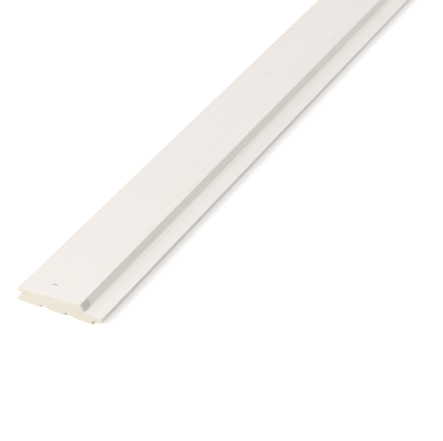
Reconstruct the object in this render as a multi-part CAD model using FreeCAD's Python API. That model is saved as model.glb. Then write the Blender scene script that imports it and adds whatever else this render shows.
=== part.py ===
"""Wedge-shaped tongue and groove board with a bevelled shadow gap, one length of machined softwood.

Millimetres, +Z up. The board lies on its back with its painted face up, its length along Y,
its groove towards -X and its tongue towards +X. The origin is at the middle of its underside.
The face rises from the groove edge to the bevel, where the board is thickest.
"""
import FreeCAD
import Part
import math
import os

# Stock sizes
LENGTH = 1800.0
THICKNESS = 19.0
FACE_FALL = 5.4
COVER_WIDTH = 85.0

# Shadow gap along the tongue side of the face, with a floor that falls on to the tongue's tip
GAP_STRIP = 9.4
GAP_DEPTH = 8.0
GAP_FALL = 0.6
BEVEL_RUN = 3.8

# Tongue, with an underside that rises towards the tip
TONGUE_REACH = 11.0
TONGUE_TIP = 5.1
TONGUE_TAPER = 0.9

# Clearances between this board's tongue and the next board's groove
FIT_CLEARANCE = 0.3
END_CLEARANCE = 1.0

# Relief channels in the back, each with one steep wall and one ramp
CHANNEL_COUNT = 2
FIRST_CHANNEL = 26.0
CHANNEL_PITCH = 28.0
CHANNEL_WIDTH = 12.5
CHANNEL_ROOF = 5.0
CHANNEL_DEPTH = 3.4
CHANNEL_DRAFT = 0.8

# Rounding of the machined corners
ARRIS = 0.4
BEVEL_ARRIS = 0.8
BEVEL_COVE = 0.8
TIP_ARRIS = 0.5
TIP_ROUND = 1.2
SHOULDER_COVE = 0.4
LEAD_IN = 1.0
GROOVE_COVE = 1.0
RAMP_ROUND = 3.0

# Positions that follow from the sizes, measured from the groove edge and the back
OVERALL_WIDTH = COVER_WIDTH + TONGUE_REACH
BEVEL_FOOT = COVER_WIDTH - GAP_STRIP
BEVEL_TOP = BEVEL_FOOT - BEVEL_RUN
EDGE_THICKNESS = THICKNESS - FACE_FALL
FOOT_TOP = THICKNESS - GAP_DEPTH
TIP_TOP = FOOT_TOP - GAP_FALL
TIP_BOTTOM = TIP_TOP - TONGUE_TIP
ROOT_BOTTOM = TIP_BOTTOM - TONGUE_TAPER
TOP_SLOPE = GAP_FALL / (GAP_STRIP + TONGUE_REACH)
ROOT_TOP = TIP_TOP + TOP_SLOPE * TONGUE_REACH
GROOVE_DEPTH = TONGUE_REACH + END_CLEARANCE
GROOVE_MOUTH_TOP = ROOT_TOP + FIT_CLEARANCE
GROOVE_END_TOP = GROOVE_MOUTH_TOP - TOP_SLOPE * GROOVE_DEPTH
GROOVE_MOUTH_BOTTOM = ROOT_BOTTOM - FIT_CLEARANCE
GROOVE_END_BOTTOM = GROOVE_MOUTH_BOTTOM + TONGUE_TAPER * GROOVE_DEPTH / TONGUE_REACH


def face_corners():
    """Corners of the face, the bevel and the floor of the shadow gap, from groove to tongue."""
    return [
        (0.0, EDGE_THICKNESS, ARRIS),
        (BEVEL_TOP, THICKNESS, BEVEL_ARRIS),
        (BEVEL_FOOT, FOOT_TOP, BEVEL_COVE),
    ]


def tongue_corners():
    """Corners of the tongue and of the shoulder that the next board's back lip meets."""
    return [
        (OVERALL_WIDTH, TIP_TOP, TIP_ARRIS),
        (OVERALL_WIDTH, TIP_BOTTOM, TIP_ROUND),
        (COVER_WIDTH, ROOT_BOTTOM, SHOULDER_COVE),
        (COVER_WIDTH, 0.0, ARRIS),
    ]


def channel_corners(start):
    """Corners of one relief channel, from the foot of its ramp to the foot of its steep wall."""
    return [
        (start + CHANNEL_WIDTH, 0.0, RAMP_ROUND),
        (start + CHANNEL_DRAFT + CHANNEL_ROOF, CHANNEL_DEPTH, RAMP_ROUND),
        (start + CHANNEL_DRAFT, CHANNEL_DEPTH, ARRIS),
        (start, 0.0, ARRIS),
    ]


def back_corners():
    """Corners of every relief channel, from the tongue side to the groove side."""
    corners = []
    for index in reversed(range(CHANNEL_COUNT)):
        corners += channel_corners(FIRST_CHANNEL + index * CHANNEL_PITCH)
    return corners


def groove_corners():
    """Corners of the two lips and of the groove between them, from back to face."""
    return [
        (0.0, 0.0, ARRIS),
        (0.0, GROOVE_MOUTH_BOTTOM, LEAD_IN),
        (GROOVE_DEPTH, GROOVE_END_BOTTOM, GROOVE_COVE),
        (GROOVE_DEPTH, GROOVE_END_TOP, GROOVE_COVE),
        (0.0, GROOVE_MOUTH_TOP, ARRIS),
    ]


def corner_arc(before, corner, after, radius):
    """Tangent points and middle of the arc that rounds one corner."""
    to_before = (before - corner).normalize()
    to_after = (after - corner).normalize()
    half_angle = to_before.getAngle(to_after) / 2
    setback = radius / math.tan(half_angle)
    inward = (to_before + to_after).normalize()
    middle = corner + inward * (radius / math.sin(half_angle) - radius)
    return corner + to_before * setback, middle, corner + to_after * setback


def rounded_wire(corners):
    """Closed wire through (x, z, radius) corners on the plane of the near end."""
    points = [FreeCAD.Vector(x, 0, z) for x, z, _ in corners]
    arcs = []
    for index, (_, _, radius) in enumerate(corners):
        following = points[(index + 1) % len(points)]
        arcs.append(corner_arc(points[index - 1], points[index], following, radius))
    edges = []
    for index, (start, middle, end) in enumerate(arcs):
        edges.append(Part.makeLine(arcs[index - 1][2], start))
        edges.append(Part.Arc(start, middle, end).toShape())
    return Part.Wire(edges)


def make_board():
    """The section run along the length, centred on the origin."""
    wire = rounded_wire(face_corners() + tongue_corners() + back_corners() + groove_corners())
    wire.translate(FreeCAD.Vector(-OVERALL_WIDTH / 2, -LENGTH / 2, 0))
    return Part.Face(wire).extrude(FreeCAD.Vector(0, LENGTH, 0))


os.makedirs("parts", exist_ok=True)
make_board().exportStep("parts/board.step")
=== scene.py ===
"""Looks of the tongue and groove board: its machined surfaces, white paint and bare softwood.

Metres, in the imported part's frame: the board lies on its back along Y, with its tongue towards
+X, and the sawn end that the camera sees is the one with the lowest Y.
"""

import math

import bpy
import numpy as np
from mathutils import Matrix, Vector, geometry


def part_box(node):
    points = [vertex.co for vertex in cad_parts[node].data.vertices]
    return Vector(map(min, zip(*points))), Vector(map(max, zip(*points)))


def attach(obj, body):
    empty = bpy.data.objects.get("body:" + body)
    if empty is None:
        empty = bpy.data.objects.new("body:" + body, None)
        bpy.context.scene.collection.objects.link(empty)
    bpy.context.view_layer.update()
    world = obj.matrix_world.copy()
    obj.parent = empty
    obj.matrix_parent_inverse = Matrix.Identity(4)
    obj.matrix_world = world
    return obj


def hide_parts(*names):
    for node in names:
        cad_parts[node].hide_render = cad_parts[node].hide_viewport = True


MM = 0.001
NODE = "board"
PIECE = "painted_board"
SLOT = "painted_softwood"
SEED = 7

# Camera, from the corner of the part's box that is lowest along every axis
FRAME_WIDTH_PX = 443
FOCAL_PX = 1750.0
SENSOR_WIDTH_MM = 36.0
CLIP_END = 100.0
VIEW_AZIMUTH = math.radians(28.008)
VIEW_ELEVATION = math.radians(34.679)
CAMERA_FROM_CORNER = Vector((0.8072, -1.0973, 1.0253))

# Soft square lamps: place from the top middle of the near end, width and power
LAMPS = {
    "key": (Vector((-0.90, -2.70, 1.60)), 2.8, 85.6),
    "fill": (Vector((1.10, 1.30, 0.60)), 1.0, 2.0),
    "back": (Vector((0.0, 2.70, 0.25)), 0.5, 4.0),
}

# White surround, brighter on the left, and a floor that shows white where no shadow falls, and turns
# plain white between two distances from its middle
SURROUND_STRENGTH = 0.65
SURROUND_SLOPE = 0.25
WHITE = (1, 1, 1, 1)
FLOOR_SIZE = 60.0
FLOOR_DROP = 0.1 * MM
FLOOR_COLOUR = (0.70, 0.70, 0.70, 1)
FLOOR_WHITENING = 0.50
FLOOR_FADE = (1.05, 1.7)

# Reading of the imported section: digits kept of its places, and gaps too small to count
PLACE_DIGITS = 7
WELD = 0.01 * MM
CLEAR_ABOVE = 0.02 * MM

# Mesh of the board: pitches round the section and on the ends, how the ends are filled, and zones
# along the length, each with its reach from the near end and its pitch
RUN_LENGTH = 1.2 * MM
ARC_STEP = 0.24 * MM
OPEN_PITCH = 1.25 * MM
HOLD = 0.12 * MM
HIDDEN_PITCH = 5.0 * MM
END_PITCH = 1.2 * MM
END_MARGIN = 0.5 * MM
FILL_INSIDE = 1
FILL_TOLERANCE = 1e-6
RIM_ZONE = 3.0 * MM
RIM_PITCH = 0.5 * MM
STATION_ZONES = (
    (RIM_ZONE, RIM_PITCH),
    (0.016, 2.0 * MM),
    (0.030, 0.5 * MM),
    (0.16, 2.4 * MM),
    (0.82, 3.3 * MM),
)
FAR_PITCH = 8.5 * MM

# Fine relief, all of it cut inwards from the machined surface, and the height over which the face lies
RAISED_GRAIN = 0.05 * MM
FACE_LOW = 12.5 * MM
SAW_DEPTH = 0.14 * MM
SAW_PITCH = 1.9 * MM
SAW_BEAT = 5.3
SAW_CENTRE = (0.07, -0.16)
SAW_LEVEL = 0.5
SAW_FINE = 0.3
SAW_BROAD = 0.2
SPLINTER_DEPTH = 0.22 * MM
SPLINTER_POWER = 3

# Paint: the cover that counts as painted, the height that it reaches down to and the slopes of the
# surface between which it fades, and the thin coat on the groove edge, which is paint and also
# painted light that whitens the shaded inside of the groove: its own lowest height, its reach
# inwards and its cover
PAINTED = 0.5
PAINT_LOW = 5.0 * MM
PAINT_FADE = (-0.6, -0.1)
GROOVE_PAINT_LOW = 0.8 * MM
GROOVE_PAINT_REACH = 13.0 * MM
GROOVE_COAT_AND_LIGHT_COVER = 0.75

# Paler paint on the floor of the shadow gap: painted light that brightens the shade which the bevel
# casts there. Given are its greatest height, the least upward slope of its surface and its cover
GAP_HIGH = 11.5 * MM
GAP_FACING = 0.9
GAP_LIGHTENING_COVER = 1.5

# Paint torn beside the sawn ends, further in on the groove side, with a ragged edge
TEAR_REACH = 1.2 * MM
TEAR_SLOPE = 0.018
TEAR_WAVES = ((0.40 * MM, 0.0210, 0.6), (0.30 * MM, 0.0067, 2.0), (0.20 * MM, 0.0029, 4.1))
TEAR_SOFTNESS = 0.25 * MM
TEAR_DEPTH = 0.12 * MM

# Growth rings round a pith that lies under the board and wanders along it, as sums of waves,
# each an amplitude, a wavelength and a phase
PITH_X = 12.0 * MM
PITH_Z = -34.0 * MM
PITH_SLOPE = 0.016
PITH_WANDER = ((1.4 * MM, 0.93, 0.4), (0.25 * MM, 0.31, 2.1))
PITH_DRIFT = ((4.0 * MM, 1.30, 1.2), (0.9 * MM, 0.27, 0.3))
RING_WIDTH = 2.7 * MM
RING_RIPPLE = 0.9 * MM
KNOT_BULGE = 2.0 * MM
KNOT_PULL = 0.8
YEAR_LEAST = 0.4
LATEWOOD_START = 0.42
LATEWOOD_FULL = 0.90
LATEWOOD_END = 0.93

# Blunt dents, a darker patch on the bevel by the near end, and oval pin knots through the board.
# The dents' darkening is painted shade in their hollows, and the knots' is their stain through the
# paint. Each row is millimetres from the near end and from the groove edge, half width, half length,
# depth and how much it darkens the paint, which fades out between two shares of the half sizes
MARK_FADE = (1.2, 0.4)
DENT_POWER = 4.0
KNOT_POWER = 2.0
DENTS = (
    (20.0, 31.5, 3.5, 0.90, 0.45, 0.80),
    (26.1, 26.9, 3.0, 1.50, 0.12, 0.12),
    # A darker patch on the bevel by the near end, with no hollow
    (8.0, 74.2, 2.4, 7.0, 0.0, 0.34),
)
KNOTS = (
    (146.9, 29.4, 1.6, 2.4, 0.10, 0.08),
    (141.2, 67.7, 3.6, 4.5, 0.06, 0.07),
    (221.5, 69.4, 1.3, 3.0, 0.28, 0.18),
    (226.3, 37.3, 1.6, 2.0, 0.10, 0.07),
    (261.1, 61.7, 1.6, 3.2, 0.10, 0.04),
    (479.3, 26.9, 2.4, 2.2, 0.25, 0.14),
    (479.2, 33.3, 1.0, 3.4, 0.20, 0.10),
    (591.6, 4.5, 3.4, 2.4, 0.20, 0.14),
    (585.1, 63.5, 1.8, 3.4, 0.30, 0.16),
    (662.5, 69.0, 1.5, 3.5, 0.30, 0.16),
    (905.0, 38.0, 3.6, 6.0, 0.20, 0.16),
    (1130.0, 18.0, 2.0, 4.0, 0.30, 0.14),
    (1322.0, 52.0, 3.0, 5.5, 0.25, 0.16),
    (1571.0, 33.0, 2.2, 4.5, 0.30, 0.14),
)

# Colours, linear
PAINT = (0.905, 0.862, 0.824, 1)
PAINT_LIGHTENED_IN_GAP = (0.945, 0.902, 0.864, 1)
PAINT_OVER_LATEWOOD = (0.850, 0.800, 0.755, 1)
# Dark colour that knots stain the paint towards, also used as painted shade in the dents
MARK_STAIN_AND_SHADE = (0.30, 0.28, 0.25, 1)
EARLYWOOD = (0.89, 0.81, 0.65, 1)
LATEWOOD = (0.76, 0.61, 0.42, 1)
KNOT_WOOD = (0.40, 0.22, 0.11, 1)
KNOT_RIM = (0.20, 0.10, 0.05, 1)
END_EARLYWOOD = (0.710, 0.675, 0.590, 1)
END_LATEWOOD = (0.655, 0.595, 0.487, 1)
TORN_WOOD = (0.865, 0.827, 0.735, 1)

# Noises in the wood and the paint: waves to the metre along each axis, detail and roughness
RIPPLE_NOISE = ((60, 6, 60), 3.0, 0.5)
FIBRE_NOISE = ((1100, 22, 1100), 4.0, 0.6)
PATCH_NOISE = ((24, 5, 24), 3.0, 0.5)
RAGGED_NOISE = ((900, 500, 900), 2.0, 0.5)
PEEL_NOISE = ((420, 300, 420), 2.0, 0.5)
FUZZ_NOISE = ((2600, 2600, 420), 3.0, 0.65)
CLOUD_NOISE = ((45, 45, 60), 2.0, 0.5)

# Planed wood: how much its fibre and latewood darken it and over what range, how ragged its knots
# are, and where their dark rims begin and end
BARE_FIBRE = 0.5
BARE_LATEWOOD = 0.75
BARE_RANGE = (-0.15, 1.0)
KNOT_RAGGED = 0.6
KNOT_RIM_START = (0.5, 0.95)
KNOT_RIM_END = (1.25, 0.95)
BARE_ROUGHNESS = 0.66

# Paint on the wood: how much the wood under it tints it, how the fibre breaks up its edge and gloss,
# and the shares of its bump
PAINT_TINT = {"latewood": 0.32, "patch": 0.35, "fibre": 0.22}
PAINT_RAGGED = 0.5
PAINT_EDGE = (0.55, 0.95)
PAINT_ROUGHNESS = 0.50
FIBRE_ROUGHNESS = 0.12
LATEWOOD_BUMP = 0.6
FIBRE_BUMP = 0.7
PEEL_BUMP = 0.4

# Sawn ends: how much the rings, fuzz and clouds darken them and over what range, their gloss, and
# the rings' share of their bump
END_RING_SHADE = 0.7
END_FUZZ_SHADE = 0.35
END_CLOUD_SHADE = 0.25
END_RANGE = (0.1, 1.2)
END_ROUGHNESS = 0.85
END_SPECULAR = 0.25
END_RING_BUMP = 0.4

# Height of the bump that the paint and the sawn wood get beside their real relief
PAINT_BUMP = 0.06 * MM
SAWN_BUMP = 0.12 * MM

# Texture map of the board: strips of the side side by side, and the two ends beside them
MAP_NAME = "OFBake"
MAP_STRIPS = 2
MAP_MARGIN = 4.0 * MM
MAP_END_SCALE = 3.0


def smoothstep(low, high, value):
    """0 below low, 1 above high and smooth between."""
    t = np.clip((value - low) / (high - low), 0, 1)
    return t * t * (3 - 2 * t)


def waves(terms, place):
    """Sum of sine waves, each an amplitude, a wavelength and a phase."""
    return sum(size * np.sin(2 * np.pi * place / length + phase) for size, length, phase in terms)


def near_end_outline(mesh):
    """Points (x, z) round the node's near end, anticlockwise with z up."""
    near_y = min(v.co.y for v in mesh.vertices)
    place = {v.index: (round(v.co.x, PLACE_DIGITS), round(v.co.z, PLACE_DIGITS)) for v in mesh.vertices}
    on_end = {v.index for v in mesh.vertices if v.co.y - near_y < WELD}
    edges = set()
    for polygon in mesh.polygons:
        corners = list(polygon.vertices)
        if on_end.issuperset(corners):
            edges.update((place[a], place[b]) for a, b in zip(corners, corners[1:] + corners[:1]))
    following = {a: b for a, b in edges if (b, a) not in edges}
    start = min(following)
    loop = [start]
    while following[loop[-1]] != start:
        loop.append(following[loop[-1]])
    return np.array(loop)


def open_above(outline, points):
    """Whether nothing of the section lies above each point."""
    a = outline
    b = np.roll(outline, -1, axis=0)
    x = points[:, None, 0]
    crosses = (a[:, 0] - x) * (b[:, 0] - x) < 0
    run = np.where(crosses, b[:, 0] - a[:, 0], 1.0)
    height = a[:, 1] + (b[:, 1] - a[:, 1]) * (x - a[:, 0]) / run
    return ~(crosses & (height > points[:, None, 1] + CLEAR_ABOVE)).any(axis=1)


def resampled(outline):
    """The outline with its arcs thinned and its straight runs divided, finely where paint goes.

    Each run also gets a point close to each end, which keeps the shading of the arcs off it."""
    length = np.linalg.norm(np.roll(outline, -1, axis=0) - outline, axis=1)
    kept = []
    for index, point in enumerate(outline):
        ends_run = max(length[index], length[index - 1]) > RUN_LENGTH
        if ends_run or not kept or np.linalg.norm(point - kept[-1]) > ARC_STEP:
            kept.append(point)
    kept = np.array(kept)
    following = np.roll(kept, -1, axis=0)
    faces_up = kept[:, 0] - following[:, 0] > 0
    is_open = open_above(outline, (kept + following) / 2) & faces_up
    points = []
    for start, end, fine in zip(kept, following, is_open):
        run = np.linalg.norm(end - start)
        pitch = OPEN_PITCH if fine else HIDDEN_PITCH
        parts = max(1, math.ceil(run / pitch))
        shares = list(np.arange(parts) / parts)
        if run > RUN_LENGTH:
            shares[1:1] = [HOLD / run]
            shares.append(1 - HOLD / run)
        points += [start + (end - start) * share for share in shares]
    return np.array(points)


def outward_normals(section):
    """Unit normals of an anticlockwise section at its points."""
    along = np.roll(section, -1, axis=0) - np.roll(section, 1, axis=0)
    normal = np.stack([along[:, 1], -along[:, 0]], axis=1)
    return normal / np.linalg.norm(normal, axis=1, keepdims=True)


def paint_cover(outline, section, normals, is_open):
    """How well the paint covers each point of the section: 0 is bare, and over 1 is the floor of the
    shadow gap, whose paint is made paler there as painted light against the bevel's shade.
    """
    across, height = (section - outline.min(axis=0)).T
    facing = smoothstep(*PAINT_FADE, normals[:, 1])
    in_gap = (height < GAP_HIGH) & (normals[:, 1] > GAP_FACING)
    coat = facing * (height > PAINT_LOW) * is_open * np.where(in_gap, GAP_LIGHTENING_COVER, 1.0)
    # The groove's thin coat is paint and also painted light that whitens the groove's shaded inside
    in_groove = (height > GROOVE_PAINT_LOW) & (across < GROOVE_PAINT_REACH)
    return np.maximum(coat, GROOVE_COAT_AND_LIGHT_COVER * in_groove)


def station_list(near_y, far_y):
    """Places of the mesh's rings along the board, closest together at its ends and dents."""
    length = far_y - near_y
    far_zones = ((length - RIM_ZONE, FAR_PITCH), (length, RIM_PITCH))
    places = [0.0]
    for reach, pitch in STATION_ZONES + far_zones:
        parts = max(1, round((reach - places[-1]) / pitch))
        places += list(np.linspace(places[-1], reach, parts + 1)[1:])
    return near_y + np.array(places)


def latewood_at(x, y, z, near_y):
    """Dark part of the growth rings at points of the board, from 0 to 1."""
    along = y - near_y
    pith_x = PITH_X + waves(PITH_DRIFT, along)
    pith_z = PITH_Z + PITH_SLOPE * along + waves(PITH_WANDER, along)
    ring = np.hypot(x - pith_x, z - pith_z) / RING_WIDTH
    part = ring - np.floor(ring)
    return smoothstep(LATEWOOD_START, LATEWOOD_FULL, part) * (1 - smoothstep(LATEWOOD_END, 1, part))


def mark_places(rows, low):
    """Each mark's place, half sizes and depth in metres, in the part's frame, and its shade."""
    for along, across, half_width, half_length, depth, shade in rows:
        x = low.x + across * MM
        y = low.y + along * MM
        yield x, y, half_width * MM, half_length * MM, depth * MM, shade


def mark_depth(x, y, low):
    """Depth of the small hollows at the dents and knots of the face."""
    depth = np.zeros(np.broadcast(x, y).shape)
    for rows, power in ((DENTS, DENT_POWER), (KNOTS, KNOT_POWER)):
        for mark_x, mark_y, half_width, half_length, deepest, _ in mark_places(rows, low):
            across = np.abs((x - mark_x) / half_width) ** power
            along = np.abs((y - mark_y) / half_length) ** power
            depth = np.maximum(depth, deepest * np.exp(-(across + along)))
    return depth


def torn(x, y, low, high):
    """How far the paint is torn away beside the sawn ends, from 0 to 1."""
    gap = np.minimum(y - low.y, high.y - y)
    reach = TEAR_REACH - TEAR_SLOPE * x + waves(TEAR_WAVES, x)
    return 1 - smoothstep(-TEAR_SOFTNESS, TEAR_SOFTNESS, gap - reach)


def saw_marks(x, z, phase):
    """Depth of the curved marks that a circular saw leaves on an end."""
    reach = np.hypot(x - SAW_CENTRE[0], z - SAW_CENTRE[1])
    fine = np.sin(2 * np.pi * reach / SAW_PITCH + phase)
    broad = np.sin(2 * np.pi * reach / (SAW_BEAT * SAW_PITCH) + 2 * phase)
    return SAW_DEPTH * (SAW_LEVEL + SAW_FINE * fine + SAW_BROAD * broad)


def inside(outline, points, margin):
    """Whether each point lies in the outline, further than margin from it."""
    a = outline
    b = np.roll(outline, -1, axis=0)
    p = points[:, None, :]
    straddles = (a[:, 1] > p[..., 1]) != (b[:, 1] > p[..., 1])
    rise = np.where(b[:, 1] == a[:, 1], 1.0, b[:, 1] - a[:, 1])
    crossing = a[:, 0] + (b[:, 0] - a[:, 0]) * (p[..., 1] - a[:, 1]) / rise
    within = (straddles & (p[..., 0] < crossing)).sum(axis=1) % 2 == 1
    edge = b - a
    share = np.clip(((p - a) * edge).sum(-1) / (edge ** 2).sum(-1), 0, 1)
    gap = np.linalg.norm(p - (a + share[..., None] * edge), axis=-1).min(axis=1)
    return within & (gap > margin)


def end_triangles(section):
    """Points inside the section and triangles that fill it. Indices past the section's own
    points are for the inner ones."""
    low = section.min(axis=0)
    high = section.max(axis=0)
    columns = np.arange(low[0], high[0], END_PITCH)
    rows = np.arange(low[1] + END_PITCH / 2, high[1], END_PITCH)
    grid = np.array([(x + (k % 2) * END_PITCH / 2, z) for k, z in enumerate(rows) for x in columns])
    inner = grid[inside(section, grid, END_MARGIN)]
    count = len(section)
    points = [Vector(p) for p in np.concatenate([section, inner]) / MM]
    rim = [(k, (k + 1) % count) for k in range(count)]
    filled = geometry.delaunay_2d_cdt(points, rim, [], FILL_INSIDE, FILL_TOLERANCE)
    origin = [sources[0] for sources in filled[3]]
    return inner, [tuple(origin[k] for k in face) for face in filled[2]]


def side_points(section, normals, cover, is_open, stations, low, high):
    """Vertices of the board's side, station by station, with its relief cut in."""
    x = section[:, 0][None, :]
    z = section[:, 1][None, :]
    y = stations[:, None]
    painted = cover > PAINTED
    on_face = painted & (section[:, 1] > section[:, 1].min() + FACE_LOW)
    depth = np.where(is_open, RAISED_GRAIN * (1 - latewood_at(x, y, z, low.y)), 0)
    depth += np.where(on_face, mark_depth(x, y, low), 0)
    depth += np.where(painted, TEAR_DEPTH * torn(x, y, low, high), 0)
    points = np.empty((len(stations), len(section), 3))
    points[..., 0] = x - normals[:, 0] * depth
    points[..., 1] = y
    points[..., 2] = z - normals[:, 1] * depth
    return points


def sawn_end(rim, inner, inward, rng):
    """Cuts saw marks into one end. Moves the rim's points and returns the inner points in 3D."""
    phase = rng.uniform(0, 2 * np.pi)
    splinter = SPLINTER_DEPTH * rng.uniform(0, 1, len(rim)) ** SPLINTER_POWER
    end_y = rim[0, 1]
    rim[:, 1] += inward * (saw_marks(rim[:, 0], rim[:, 2], phase) + splinter)
    inner_y = end_y + inward * saw_marks(inner[:, 0], inner[:, 1], phase)
    return np.stack([inner[:, 0], inner_y, inner[:, 1]], axis=1)


def side_faces(count, rings):
    """Quads between neighbouring rings of the side."""
    faces = []
    for first in range(0, (rings - 1) * count, count):
        for k in range(count):
            a = first + k
            b = first + (k + 1) % count
            faces.append((a, a + count, b + count, b))
    return faces


def end_faces(triangles, count, rim_first, inner_first):
    """Triangles of one end, with the indices of its own rim and inner points."""
    rim = range(rim_first, rim_first + count)
    return [tuple(rim[k] if k < count else inner_first + k - count for k in face) for face in triangles]


def board_mesh(node, low, high):
    """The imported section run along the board's length, with closed sawn ends."""
    outline = near_end_outline(node.data)
    section = resampled(outline)
    normals = outward_normals(section)
    is_open = open_above(outline, section)
    cover = paint_cover(outline, section, normals, is_open)
    stations = station_list(low.y, high.y)
    side = side_points(section, normals, cover, is_open, stations, low, high)
    inner, triangles = end_triangles(section)
    rng = np.random.default_rng(SEED)
    near = sawn_end(side[0], inner, 1, rng)
    far = sawn_end(side[-1], inner, -1, rng)

    count = len(section)
    total = len(stations) * count
    quads = side_faces(count, len(stations))
    near_faces = end_faces(triangles, count, 0, total)
    far_faces = end_faces(triangles, count, total - count, total + len(inner))
    faces = quads + near_faces + [face[::-1] for face in far_faces]
    mesh = bpy.data.meshes.new(PIECE)
    mesh.from_pydata(np.concatenate([side.reshape(-1, 3), near, far]).tolist(), [], faces)

    covers = np.concatenate([np.tile(cover, len(stations)), np.zeros(2 * len(inner))])
    mesh.attributes.new("paint", "FLOAT", "POINT").data.foreach_set("value", covers)
    is_end = np.arange(len(faces)) >= len(quads)
    mesh.polygons.foreach_set("material_index", is_end.astype(np.int32))
    mesh.shade_smooth()
    sharpen_ends(mesh, is_end)
    lay_out_map(mesh, section, stations, len(triangles), low, high)
    return mesh


def sharpen_ends(mesh, is_end):
    """Marks the rims of the two ends as sharp, so that the ends and the side shade apart."""
    touched = {}
    for polygon in mesh.polygons:
        for key in polygon.edge_keys:
            touched.setdefault(key, set()).add(bool(is_end[polygon.index]))
    sharp = [len(touched[tuple(sorted(edge.vertices))]) == 2 for edge in mesh.edges]
    mesh.attributes.new("sharp_edge", "BOOLEAN", "EDGE").data.foreach_set("value", sharp)


def lay_out_map(mesh, section, stations, end_count, low, high):
    """A texture map with the side unrolled in strips and the ends laid out larger beside them."""
    count = len(section)
    steps = np.linalg.norm(np.roll(section, -1, axis=0) - section, axis=1)
    around = np.concatenate([[0], np.cumsum(steps)])
    strip_length = (high.y - low.y) / MAP_STRIPS
    strip_width = around[-1] + MAP_MARGIN
    width = strip_length + 2 * MAP_MARGIN + 2 * FAR_PITCH
    coords = []
    for ring in range(len(stations) - 1):
        middle = (stations[ring] + stations[ring + 1]) / 2
        strip = min(MAP_STRIPS - 1, int((middle - low.y) / strip_length))
        left = MAP_MARGIN + strip * strip_width
        v = [MAP_MARGIN + stations[ring + k] - low.y - strip * strip_length for k in (0, 1)]
        for k in range(count):
            u = (left + around[k], left + around[k + 1])
            coords += [(u[0], v[0]), (u[0], v[1]), (u[1], v[1]), (u[1], v[0])]
    end_left = 2 * MAP_MARGIN + MAP_STRIPS * strip_width
    end_rise = MAP_END_SCALE * (high.z - low.z) + MAP_MARGIN
    for polygon in list(mesh.polygons)[-2 * end_count:]:
        is_far = polygon.center.y > 0
        for vertex in polygon.vertices:
            place = mesh.vertices[vertex].co
            u = end_left + MAP_END_SCALE * (place.x - low.x)
            v = MAP_MARGIN + is_far * end_rise + MAP_END_SCALE * (place.z - low.z)
            coords.append((u, v))
    layer = mesh.uv_layers.new(name=MAP_NAME)
    layer.uv.foreach_set("vector", (np.array(coords) / width).astype(np.float32).ravel())


class Nodes:
    """Adds shader nodes to one tree and links them."""

    def __init__(self, tree):
        self.tree = tree

    def feed(self, socket, value):
        if isinstance(value, bpy.types.NodeSocket):
            self.tree.links.new(value, socket)
        else:
            socket.default_value = value

    def add(self, kind, inputs=None, **settings):
        node = self.tree.nodes.new("ShaderNode" + kind)
        for name, value in settings.items():
            setattr(node, name, value)
        for key, value in (inputs or {}).items():
            self.feed(node.inputs[key], value)
        return node

    def math(self, operation, *values):
        return self.add("Math", dict(enumerate(values)), operation=operation).outputs[0]

    def smooth(self, value, low, high):
        inputs = {"Value": value, "From Min": low, "From Max": high}
        return self.add("MapRange", inputs, interpolation_type="SMOOTHSTEP").outputs["Result"]

    def mix(self, factor, first, second):
        inputs = {"Factor": factor, 6: first, 7: second}
        return self.add("Mix", inputs, data_type="RGBA").outputs[2]

    def noise(self, vector, scale, detail, roughness):
        stretched = self.add("VectorMath", {0: vector, 1: scale}, operation="MULTIPLY").outputs[0]
        inputs = {"Vector": stretched, "Scale": 1.0, "Detail": detail, "Roughness": roughness}
        return self.add("TexNoise", inputs).outputs["Fac"]

    def total(self, *values):
        result = values[0]
        for value in values[1:]:
            result = self.math("ADD", result, value)
        return result

    def weighted(self, *pairs):
        return self.total(*[self.math("MULTIPLY", value, weight) for value, weight in pairs])


def wave_nodes(nodes, terms, place):
    """The same sum of sine waves as waves(), in nodes."""
    sines = []
    for size, length, phase in terms:
        angle = nodes.math("MULTIPLY_ADD", place, 2 * math.pi / length, phase)
        sines.append((nodes.math("SINE", angle), size))
    return nodes.weighted(*sines)


def mark_nodes(nodes, rows, power, x, y, low):
    """Distance to the nearest of some marks, 1 at its edge, and the darkening that they give: stain for
    knots, painted shade in the hollows of dents.
    """
    nearest = None
    shade = None
    for mark_x, mark_y, half_width, half_length, _, darkness in mark_places(rows, low):
        across = nodes.math("DIVIDE", nodes.math("SUBTRACT", x, mark_x), half_width)
        along = nodes.math("DIVIDE", nodes.math("SUBTRACT", y, mark_y), half_length)
        powers = [nodes.math("POWER", nodes.math("ABSOLUTE", side), power) for side in (across, along)]
        reach = nodes.math("POWER", nodes.total(*powers), 1 / power)
        own_shade = nodes.math("MULTIPLY", nodes.smooth(reach, *MARK_FADE), darkness)
        nearest = reach if nearest is None else nodes.math("MINIMUM", nearest, reach)
        shade = own_shade if shade is None else nodes.math("MAXIMUM", shade, own_shade)
    return nearest, shade


def torn_nodes(nodes, x, along, length):
    """The same torn paint as torn(), in nodes."""
    gap = nodes.math("MINIMUM", along, nodes.math("SUBTRACT", length, along))
    straight = nodes.math("MULTIPLY_ADD", x, -TEAR_SLOPE, TEAR_REACH)
    reach = nodes.math("ADD", straight, wave_nodes(nodes, TEAR_WAVES, x))
    return nodes.smooth(nodes.math("SUBTRACT", gap, reach), TEAR_SOFTNESS, -TEAR_SOFTNESS)


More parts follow.
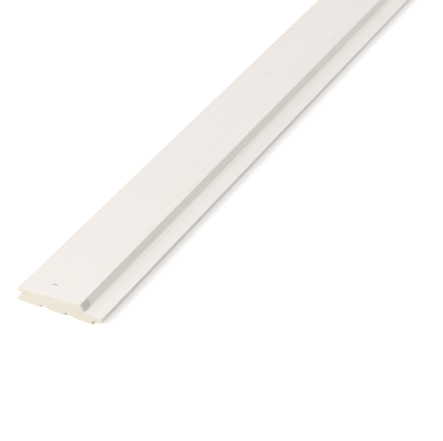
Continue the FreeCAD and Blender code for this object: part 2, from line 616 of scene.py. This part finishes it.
def latewood_nodes(nodes, place, x, along, z, knot):
    """The same growth rings as latewood_at(), rippled, bulging at knots and uneven by year."""
    slope = nodes.math("MULTIPLY_ADD", along, PITH_SLOPE, PITH_Z)
    pith_z = nodes.math("ADD", slope, wave_nodes(nodes, PITH_WANDER, along))
    pith_x = nodes.math("ADD", wave_nodes(nodes, PITH_DRIFT, along), PITH_X)
    across = nodes.math("SUBTRACT", x, pith_x)
    height = nodes.math("SUBTRACT", z, pith_z)
    squares = nodes.math("MULTIPLY_ADD", height, height, nodes.math("MULTIPLY", across, across))
    ripple = nodes.math("MULTIPLY", nodes.noise(place, *RIPPLE_NOISE), RING_RIPPLE)
    near_knot = nodes.math("EXPONENT", nodes.math("MULTIPLY", knot, -KNOT_PULL))
    bulge = nodes.math("MULTIPLY", near_knot, KNOT_BULGE)
    radius = nodes.total(nodes.math("SQRT", squares), ripple, bulge)
    ring = nodes.math("DIVIDE", radius, RING_WIDTH)
    part = nodes.math("FRACT", ring)
    rise = nodes.smooth(part, LATEWOOD_START, LATEWOOD_FULL)
    fall = nodes.smooth(part, 1.0, LATEWOOD_END)
    year = nodes.add("TexWhiteNoise", {"W": nodes.math("FLOOR", ring)}, noise_dimensions="1D")
    strength = nodes.math("MULTIPLY_ADD", year.outputs["Value"], 1 - YEAR_LEAST, YEAR_LEAST)
    return nodes.math("MULTIPLY", nodes.math("MULTIPLY", rise, fall), strength)


def wood_nodes(nodes, low, high):
    """Grain, knots, marks and torn paint of one solid piece of softwood, as sockets by name."""
    place = nodes.add("TexCoord").outputs["Object"]
    axes = nodes.add("SeparateXYZ", {0: place}).outputs
    along = nodes.math("SUBTRACT", axes["Y"], low.y)
    knot, knot_shade = mark_nodes(nodes, KNOTS, KNOT_POWER, axes["X"], axes["Y"], low)
    _, dent_shade = mark_nodes(nodes, DENTS, DENT_POWER, axes["X"], axes["Y"], low)
    return {
        "place": place,
        "latewood": latewood_nodes(nodes, place, axes["X"], along, axes["Z"], knot),
        "fibre": nodes.noise(place, *FIBRE_NOISE),
        "patch": nodes.noise(place, *PATCH_NOISE),
        "knot": knot,
        "shade": nodes.math("MAXIMUM", knot_shade, dent_shade),
        "torn": torn_nodes(nodes, axes["X"], along, high.y - low.y),
    }


def new_material(name):
    """An empty node material with its Principled shader, as (material, nodes, shader)."""
    material = bpy.data.materials.new(name)
    material.use_nodes = True
    tree = material.node_tree
    tree.nodes.clear()
    nodes = Nodes(tree)
    shader = nodes.add("BsdfPrincipled")
    nodes.add("OutputMaterial", {"Surface": shader.outputs[0]})
    return material, nodes, shader


def add_bump(nodes, shader, height, distance):
    """Roughens a shader's surface by a height from 0 to 1, where 1 stands for the distance."""
    bump = nodes.add("Bump", {"Height": height, "Distance": distance})
    nodes.feed(shader.inputs["Normal"], bump.outputs[0])


def board_material(low, high):
    """White paint over softwood where the spray landed, and bare planed softwood elsewhere."""
    material, nodes, shader = new_material(SLOT)
    wood = wood_nodes(nodes, low, high)

    fibre_shade = nodes.math("MULTIPLY_ADD", wood["fibre"], BARE_FIBRE, -BARE_FIBRE / 2)
    dark = nodes.math("MULTIPLY_ADD", wood["latewood"], BARE_LATEWOOD, fibre_shade)
    bare = nodes.mix(nodes.smooth(dark, *BARE_RANGE), EARLYWOOD, LATEWOOD)
    ragged = nodes.noise(wood["place"], *RAGGED_NOISE)
    even = nodes.math("SUBTRACT", wood["knot"], KNOT_RAGGED / 2)
    knot = nodes.math("MULTIPLY_ADD", ragged, KNOT_RAGGED, even)
    core = nodes.mix(nodes.smooth(knot, *KNOT_RIM_START), KNOT_WOOD, KNOT_RIM)
    bare = nodes.mix(nodes.smooth(knot, *KNOT_RIM_END), bare, core)
    bare = nodes.mix(wood["torn"], bare, TORN_WOOD)

    cover = nodes.add("Attribute", attribute_name="paint").outputs["Fac"]
    # Paler paint on the gap's floor: painted light against the shade of the bevel
    coat = nodes.mix(nodes.smooth(cover, 1.0, GAP_LIGHTENING_COVER), PAINT, PAINT_LIGHTENED_IN_GAP)
    tint = nodes.weighted(*[(wood[name], share) for name, share in PAINT_TINT.items()])
    paint = nodes.mix(tint, coat, PAINT_OVER_LATEWOOD)
    # Knots stain the paint darker, dents get painted shade in their hollows, and the bevel's patch
    # darkens
    paint = nodes.mix(wood["shade"], paint, MARK_STAIN_AND_SHADE)

    kept = nodes.math("SUBTRACT", nodes.math("MINIMUM", cover, 1.0), wood["torn"])
    ragged_coat = nodes.math("MULTIPLY_ADD", wood["fibre"], PAINT_RAGGED, kept)
    painted = nodes.smooth(ragged_coat, *PAINT_EDGE)
    nodes.feed(shader.inputs["Base Color"], nodes.mix(painted, bare, paint))
    even_gloss = nodes.math("MULTIPLY_ADD", painted, PAINT_ROUGHNESS - BARE_ROUGHNESS, BARE_ROUGHNESS)
    roughness = nodes.math("MULTIPLY_ADD", wood["fibre"], FIBRE_ROUGHNESS, even_gloss)
    nodes.feed(shader.inputs["Roughness"], roughness)
    peel = nodes.noise(wood["place"], *PEEL_NOISE)
    bumps = (wood["latewood"], LATEWOOD_BUMP), (wood["fibre"], FIBRE_BUMP), (peel, PEEL_BUMP)
    height = nodes.weighted(*bumps)
    add_bump(nodes, shader, height, PAINT_BUMP)
    return material


def end_material(low, high):
    """Pale sawn end grain, with its growth rings and the fuzz of the saw."""
    material, nodes, shader = new_material("sawn_end_grain")
    wood = wood_nodes(nodes, low, high)
    fuzz = nodes.noise(wood["place"], *FUZZ_NOISE)
    cloud = nodes.noise(wood["place"], *CLOUD_NOISE)
    shades = (wood["latewood"], END_RING_SHADE), (fuzz, END_FUZZ_SHADE), (cloud, END_CLOUD_SHADE)
    dark = nodes.smooth(nodes.weighted(*shades), *END_RANGE)
    colour = nodes.mix(dark, END_EARLYWOOD, END_LATEWOOD)
    nodes.feed(shader.inputs["Base Color"], colour)
    shader.inputs["Roughness"].default_value = END_ROUGHNESS
    shader.inputs["Specular IOR Level"].default_value = END_SPECULAR
    height = nodes.math("MULTIPLY_ADD", wood["latewood"], END_RING_BUMP, fuzz)
    add_bump(nodes, shader, height, SAWN_BUMP)
    return material


def make_board(frame, low, high):
    """The dressed board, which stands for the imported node."""
    mesh = board_mesh(frame["nodes"][NODE], low, high)
    mesh.materials.append(board_material(low, high))
    mesh.materials.append(end_material(low, high))
    piece = bpy.data.objects.new(PIECE, mesh)
    bpy.context.scene.collection.objects.link(piece)
    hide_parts(NODE)
    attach(piece, "root")


def seen_directly(nodes):
    """1 for rays from the camera and for what gloss and glass show, 0 for rays that light things."""
    path = nodes.add("LightPath").outputs
    direct = nodes.math("MAXIMUM", path["Is Camera Ray"], path["Is Glossy Ray"])
    return nodes.math("MAXIMUM", direct, path["Is Transmission Ray"])


def make_floor(low):
    """A plain pale floor that shows white where no shadow falls, and all over further away."""
    bpy.ops.mesh.primitive_plane_add(size=FLOOR_SIZE, location=(0, 0, low.z - FLOOR_DROP))
    floor = bpy.context.object
    floor.name = "floor"
    material = bpy.data.materials.new("pale_floor")
    material.use_nodes = True
    material.node_tree.nodes.clear()
    nodes = Nodes(material.node_tree)
    diffuse = nodes.add("BsdfDiffuse", {"Color": FLOOR_COLOUR})
    direct = seen_directly(nodes)
    glow = nodes.add("Emission", {"Strength": nodes.math("MULTIPLY", direct, FLOOR_WHITENING)})
    both = nodes.add("AddShader", {0: diffuse.outputs[0], 1: glow.outputs[0]})
    place = nodes.add("TexCoord").outputs["Object"]
    away = nodes.add("VectorMath", {0: place}, operation="LENGTH").outputs["Value"]
    fade = nodes.math("MULTIPLY", nodes.smooth(away, *FLOOR_FADE), direct)
    plain = nodes.add("Emission", {"Color": WHITE})
    floor_shader = nodes.add("MixShader", {0: fade, 1: both.outputs[0], 2: plain.outputs[0]})
    nodes.add("OutputMaterial", {"Surface": floor_shader.outputs[0]})
    floor.data.materials.append(material)


def make_lamp(name, target, offset, width, power):
    """A soft square lamp that stands at an offset from what it points at."""
    light = bpy.data.lights.new(name, "AREA")
    light.energy = power
    light.size = width
    lamp = bpy.data.objects.new(name, light)
    lamp.location = target + offset
    lamp.rotation_mode = "QUATERNION"
    lamp.rotation_quaternion = offset.to_track_quat("Z", "Y")
    bpy.context.scene.collection.objects.link(lamp)


def make_surround():
    """A white world that shows as plain white and lights the board more from the left."""
    world = bpy.data.worlds.new("surround")
    world.use_nodes = True
    world.node_tree.nodes.clear()
    nodes = Nodes(world.node_tree)
    direct = seen_directly(nodes)
    towards = nodes.add("SeparateXYZ", {0: nodes.add("TexCoord").outputs["Generated"]}).outputs["X"]
    soft = nodes.math("MULTIPLY_ADD", towards, -SURROUND_SLOPE, SURROUND_STRENGTH)
    lighting = nodes.math("SUBTRACT", 1.0, direct)
    strength = nodes.math("MULTIPLY_ADD", soft, lighting, direct)
    background = nodes.add("Background", {"Color": WHITE, "Strength": strength})
    nodes.add("OutputWorld", {"Surface": background.outputs[0]})
    bpy.context.scene.world = world


def make_camera(low):
    """The camera at the photograph's place and angle."""
    lens = bpy.data.cameras.new("camera")
    lens.sensor_width = SENSOR_WIDTH_MM
    lens.lens = SENSOR_WIDTH_MM * FOCAL_PX / FRAME_WIDTH_PX
    lens.clip_end = CLIP_END
    camera = bpy.data.objects.new("camera", lens)
    camera.location = low + CAMERA_FROM_CORNER
    back = Vector((
        math.sin(VIEW_AZIMUTH) * math.cos(VIEW_ELEVATION),
        -math.cos(VIEW_AZIMUTH) * math.cos(VIEW_ELEVATION),
        math.sin(VIEW_ELEVATION),
    ))
    camera.rotation_mode = "QUATERNION"
    camera.rotation_quaternion = (-back).to_track_quat("-Z", "Y")
    bpy.context.scene.collection.objects.link(camera)
    bpy.context.scene.camera = camera


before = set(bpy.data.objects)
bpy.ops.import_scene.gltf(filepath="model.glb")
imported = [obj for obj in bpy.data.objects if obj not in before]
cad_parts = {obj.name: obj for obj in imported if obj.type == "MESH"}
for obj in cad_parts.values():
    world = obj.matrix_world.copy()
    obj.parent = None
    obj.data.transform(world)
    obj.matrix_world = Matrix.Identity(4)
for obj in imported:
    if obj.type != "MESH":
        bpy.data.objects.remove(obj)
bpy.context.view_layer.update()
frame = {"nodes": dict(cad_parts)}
box_low, box_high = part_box(NODE)
make_board(frame, box_low, box_high)
make_floor(box_low)
make_surround()
for lamp_name, (lamp_offset, lamp_width, lamp_power) in LAMPS.items():
    make_lamp(lamp_name, Vector((0, box_low.y, box_high.z)), lamp_offset, lamp_width, lamp_power)
make_camera(box_low)
bpy.context.scene.view_settings.view_transform = "Standard"
